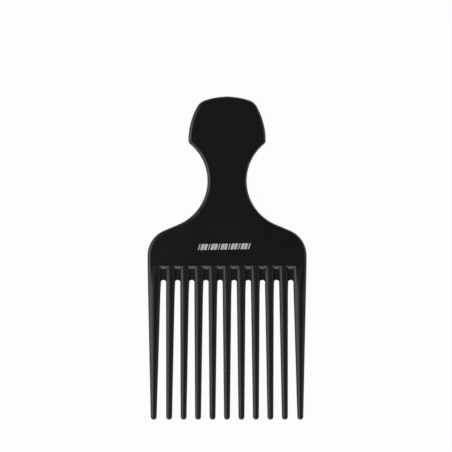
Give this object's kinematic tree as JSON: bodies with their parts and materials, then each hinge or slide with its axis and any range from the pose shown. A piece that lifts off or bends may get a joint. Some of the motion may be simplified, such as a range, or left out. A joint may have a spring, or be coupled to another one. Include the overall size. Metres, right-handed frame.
{
  "type": "afro pick",
  "caption": "Black moulded hair pick with a flat knobbed grip, a waisted neck, flared shoulders and a row of long tapered teeth joined by thin webs at their roots.",
  "frame": {"origin": "on the back face, under the middle of the bounding box", "axes": "+X across the teeth, +Y along the grip away from the tips, +Z out of the front face"},
  "size_m": [0.0794, 0.1616, 0.0046],
  "materials": {
    "black_plastic": "semi-gloss, as moulded",
    "silver_foil": "hot-stamped silver foil"
  },
  "bodies": {
    "root": {"handle": "black_plastic", "tooth_01": "black_plastic", "tooth_02": "black_plastic", "tooth_03": "black_plastic", "tooth_04": "black_plastic", "tooth_05": "black_plastic", "tooth_06": "black_plastic", "tooth_07": "black_plastic", "tooth_08": "black_plastic", "tooth_09": "black_plastic", "tooth_10": "black_plastic", "tooth_11": "black_plastic", "root_web_01": "black_plastic", "root_web_02": "black_plastic", "root_web_03": "black_plastic", "root_web_04": "black_plastic", "root_web_05": "black_plastic", "root_web_06": "black_plastic", "root_web_07": "black_plastic", "root_web_08": "black_plastic", "root_web_09": "black_plastic", "root_web_10": "black_plastic"}
  },
  "joints": []
}
